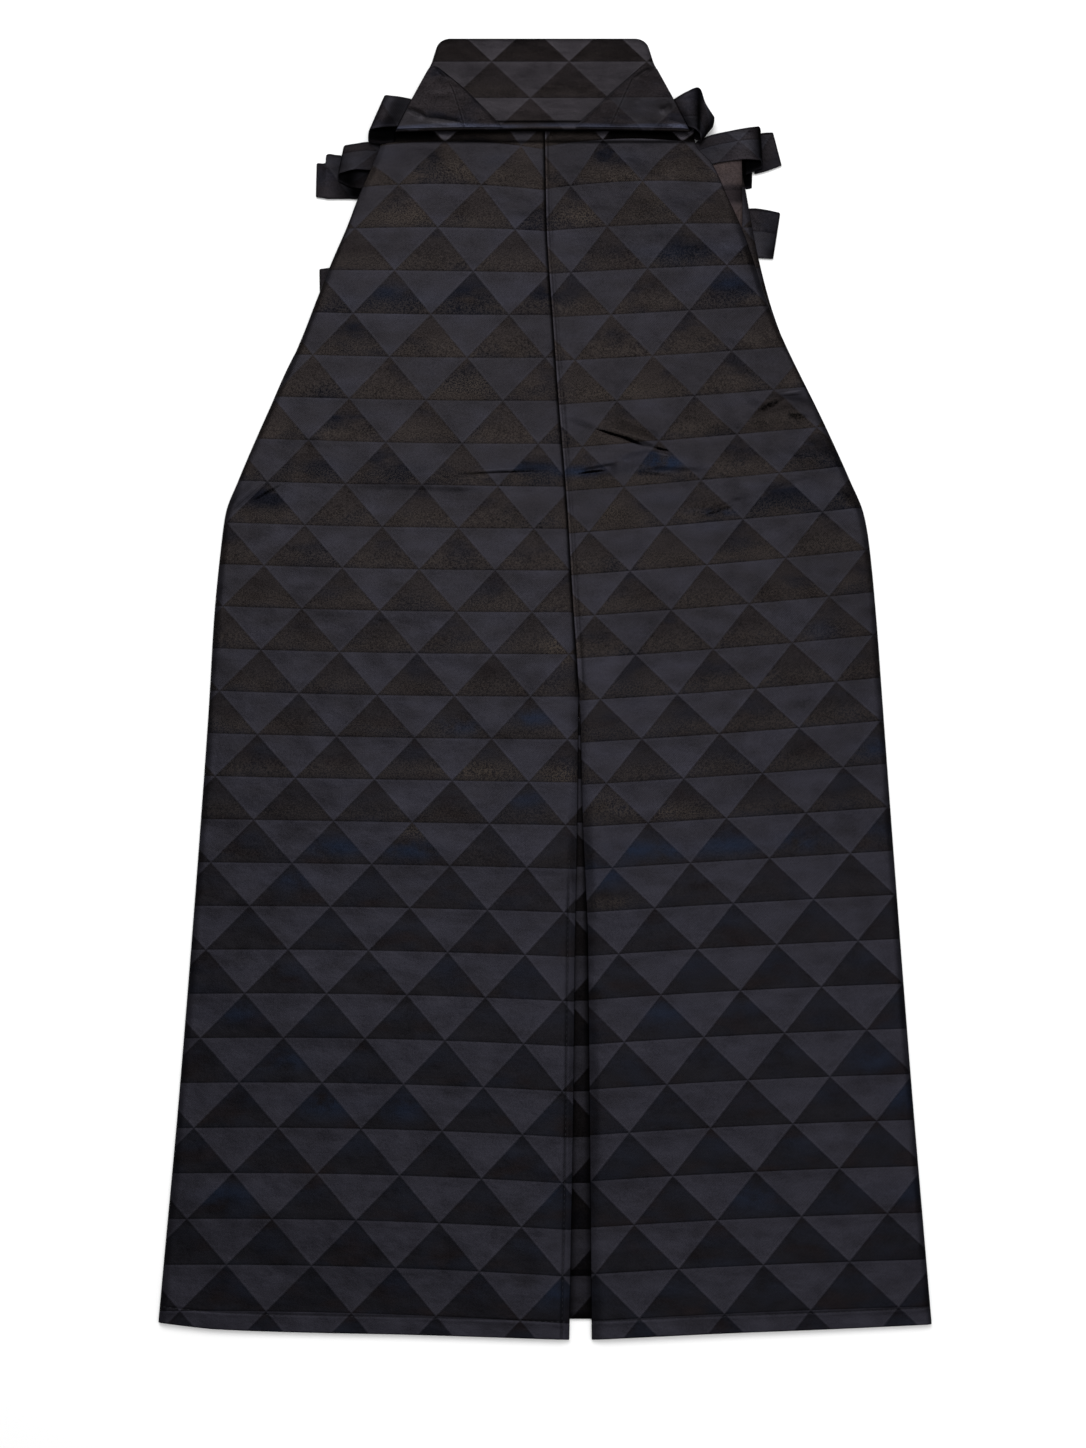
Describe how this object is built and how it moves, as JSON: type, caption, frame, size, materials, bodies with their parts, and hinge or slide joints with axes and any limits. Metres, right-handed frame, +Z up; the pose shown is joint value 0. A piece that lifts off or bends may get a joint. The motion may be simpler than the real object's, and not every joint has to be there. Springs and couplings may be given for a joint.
{
  "type": "hakama trousers",
  "caption": "Divided pleated hakama of dark triangle-patterned cloth, lying face down and flat, with its stiff back board on top and its straps folded away at the waist",
  "frame": {"origin": "on the surface the garment lies on, under the middle of its overall box", "axes": "X across the garment (+X towards the wearer's right), Y from the hem to the waist, Z up from the surface; the garment lies face down, so +Z is out of its back"},
  "size_m": [0.5784, 1.033, 0.0166],
  "materials": {
    "jacquard": "satin woven cloth with a tone-on-tone triangle pattern",
    "strap": "satin woven cloth, folded and pressed"
  },
  "bodies": {
    "root": {"back_leg_left": "jacquard", "back_leg_right": "jacquard", "front_leg_left": "jacquard", "front_leg_right": "jacquard", "side_fold_right": "jacquard", "gusset": "jacquard", "back_board": "jacquard", "strap_end_left": "strap", "strap_end_right": "strap", "front_waist_band": "strap", "front_strap_bundle": "strap", "back_strap_bundle": "strap", "back_strap_loop_left": "strap", "back_strap_loop_right": "strap", "front_strap_left_upper": "strap", "front_strap_left_middle": "strap", "front_strap_left_lower": "strap", "front_strap_right_upper": "strap", "front_strap_right_middle": "strap", "front_strap_right_lower": "strap", "front_strap_right_end": "strap"}
  },
  "joints": []
}
